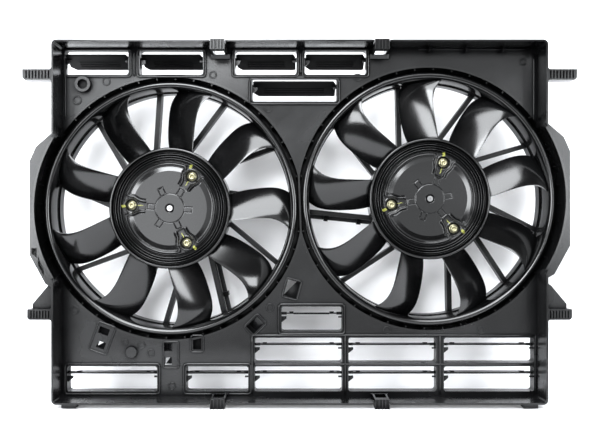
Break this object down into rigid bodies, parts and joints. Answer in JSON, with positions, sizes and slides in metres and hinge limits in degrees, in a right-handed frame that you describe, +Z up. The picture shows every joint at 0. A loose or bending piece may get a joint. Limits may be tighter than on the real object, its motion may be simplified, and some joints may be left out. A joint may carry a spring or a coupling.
{
  "type": "radiator fan shroud",
  "caption": "Black plastic radiator fan shroud: shallow tray with ring fans in round barrels, motors on leaning arms and ram-air flaps in framed windows.",
  "frame": {"origin": "in the rim plane that seats on the radiator, at mid-width, on the outer face of the tray's bottom wall", "axes": "+X across the radiator, +Y from the radiator to the engine, +Z up"},
  "size_m": [0.774, 0.116, 0.5074],
  "materials": {
    "panel_plastic": "satin black injection-moulded glass-filled plastic",
    "flap_plastic": "satin black moulded plastic",
    "fan_plastic": "half-gloss black moulded plastic",
    "core_steel": "stacked electrical steel",
    "can_steel": "black passivated deep-drawn steel",
    "cast_aluminium": "as-cast aluminium",
    "zinc_steel": "bright zinc plating",
    "bearing_steel": "ground bearing steel",
    "yellow_zinc": "yellow-passivated zinc",
    "bright_steel": "ground steel",
    "cable_sleeve": "black woven sleeve over the wires",
    "clip_plastic": "black nylon",
    "plug_plastic": "dark grey nylon"
  },
  "bodies": {
    "shroud": {"shroud_panel": "panel_plastic", "upper_left_vent_frame": "panel_plastic", "upper_centre_vent_frame": "panel_plastic", "centre_vent_frame": "panel_plastic", "lower_right_vent_frame": "panel_plastic", "lower_left_vent_frame": "panel_plastic", "left_fan_barrel": "panel_plastic", "left_motor_carrier": "panel_plastic", "left_stator_core": "core_steel", "left_motor_housing": "cast_aluminium", "left_motor_screws": "zinc_steel", "left_motor_bearings": "bearing_steel", "left_cable": "cable_sleeve", "left_cable_clips": "clip_plastic", "left_plug": "plug_plastic", "right_fan_barrel": "panel_plastic", "right_motor_carrier": "panel_plastic", "right_stator_core": "core_steel", "right_motor_housing": "cast_aluminium", "right_motor_screws": "zinc_steel", "right_motor_bearings": "bearing_steel", "right_cable": "cable_sleeve", "right_cable_clips": "clip_plastic", "right_plug": "plug_plastic"},
    "top_outer_flap": {"top_outer_flap": "flap_plastic"},
    "top_inner_flap": {"top_inner_flap": "flap_plastic"},
    "top_centre_left_flap": {"top_centre_left_flap": "flap_plastic"},
    "top_centre_right_flap": {"top_centre_right_flap": "flap_plastic"},
    "second_row_flap": {"second_row_flap": "flap_plastic"},
    "centre_flap": {"centre_flap": "flap_plastic"},
    "upper_low_left_flap": {"upper_low_left_flap": "flap_plastic"},
    "upper_low_middle_flap": {"upper_low_middle_flap": "flap_plastic"},
    "upper_low_right_flap": {"upper_low_right_flap": "flap_plastic"},
    "lower_low_left_flap": {"lower_low_left_flap": "flap_plastic"},
    "lower_low_middle_flap": {"lower_low_middle_flap": "flap_plastic"},
    "lower_low_right_flap": {"lower_low_right_flap": "flap_plastic"},
    "corner_outer_flap": {"corner_outer_flap": "flap_plastic"},
    "corner_inner_flap": {"corner_inner_flap": "flap_plastic"},
    "left_fan": {"left_fan_moulding": "fan_plastic", "left_rotor_can": "can_steel", "left_fan_screws": "yellow_zinc", "left_motor_shaft": "bright_steel"},
    "right_fan": {"right_fan_moulding": "fan_plastic", "right_rotor_can": "can_steel", "right_fan_screws": "yellow_zinc", "right_motor_shaft": "bright_steel"}
  },
  "joints": [
    {"name": "left_fan_spin", "type": "hinge", "parent": "shroud", "child": "left_fan", "pos_m": [-0.1839, 0.05, 0.2696], "axis": [0, 1, 0], "continuous": true},
    {"name": "right_fan_spin", "type": "hinge", "parent": "shroud", "child": "right_fan", "pos_m": [0.1847, 0.05, 0.2831], "axis": [0, 1, 0], "continuous": true},
    {"name": "top_outer_flap_hinge", "type": "hinge", "parent": "shroud", "child": "top_outer_flap", "pos_m": [-0.29005, 0.05, 0.4848], "axis": [1, 0, 0], "range_deg": [-65, 25]},
    {"name": "top_inner_flap_hinge", "type": "hinge", "parent": "shroud", "child": "top_inner_flap", "pos_m": [-0.18285, 0.05, 0.4848], "axis": [1, 0, 0], "range_deg": [-65, 25]},
    {"name": "top_centre_left_flap_hinge", "type": "hinge", "parent": "shroud", "child": "top_centre_left_flap", "pos_m": [-0.04825, 0.05, 0.4848], "axis": [1, 0, 0], "range_deg": [-65, 25]},
    {"name": "top_centre_right_flap_hinge", "type": "hinge", "parent": "shroud", "child": "top_centre_right_flap", "pos_m": [0.05125, 0.05, 0.4848], "axis": [1, 0, 0], "range_deg": [-65, 25]},
    {"name": "second_row_flap_hinge", "type": "hinge", "parent": "shroud", "child": "second_row_flap", "pos_m": [-0.0072, 0.05, 0.4463], "axis": [1, 0, 0], "range_deg": [-65, 25]},
    {"name": "centre_flap_hinge", "type": "hinge", "parent": "shroud", "child": "centre_flap", "pos_m": [0.0173, 0.05, 0.1185], "axis": [1, 0, 0], "range_deg": [-82, 8]},
    {"name": "upper_low_left_flap_hinge", "type": "hinge", "parent": "shroud", "child": "upper_low_left_flap", "pos_m": [-0.0018, 0.05, 0.074], "axis": [1, 0, 0], "range_deg": [-82, 8]},
    {"name": "upper_low_middle_flap_hinge", "type": "hinge", "parent": "shroud", "child": "upper_low_middle_flap", "pos_m": [0.13235, 0.05, 0.074], "axis": [1, 0, 0], "range_deg": [-82, 8]},
    {"name": "upper_low_right_flap_hinge", "type": "hinge", "parent": "shroud", "child": "upper_low_right_flap", "pos_m": [0.27005, 0.05, 0.074], "axis": [1, 0, 0], "range_deg": [-82, 8]},
    {"name": "lower_low_left_flap_hinge", "type": "hinge", "parent": "shroud", "child": "lower_low_left_flap", "pos_m": [-0.0018, 0.05, 0.0332], "axis": [1, 0, 0], "range_deg": [-82, 8]},
    {"name": "lower_low_middle_flap_hinge", "type": "hinge", "parent": "shroud", "child": "lower_low_middle_flap", "pos_m": [0.13235, 0.05, 0.0332], "axis": [1, 0, 0], "range_deg": [-82, 8]},
    {"name": "lower_low_right_flap_hinge", "type": "hinge", "parent": "shroud", "child": "lower_low_right_flap", "pos_m": [0.27005, 0.05, 0.0332], "axis": [1, 0, 0], "range_deg": [-82, 8]},
    {"name": "corner_outer_flap_hinge", "type": "hinge", "parent": "shroud", "child": "corner_outer_flap", "pos_m": [-0.2672, 0.05, 0.0332], "axis": [1, 0, 0], "range_deg": [-82, 8]},
    {"name": "corner_inner_flap_hinge", "type": "hinge", "parent": "shroud", "child": "corner_inner_flap", "pos_m": [-0.1173, 0.05, 0.0332], "axis": [1, 0, 0], "range_deg": [-82, 8]}
  ]
}
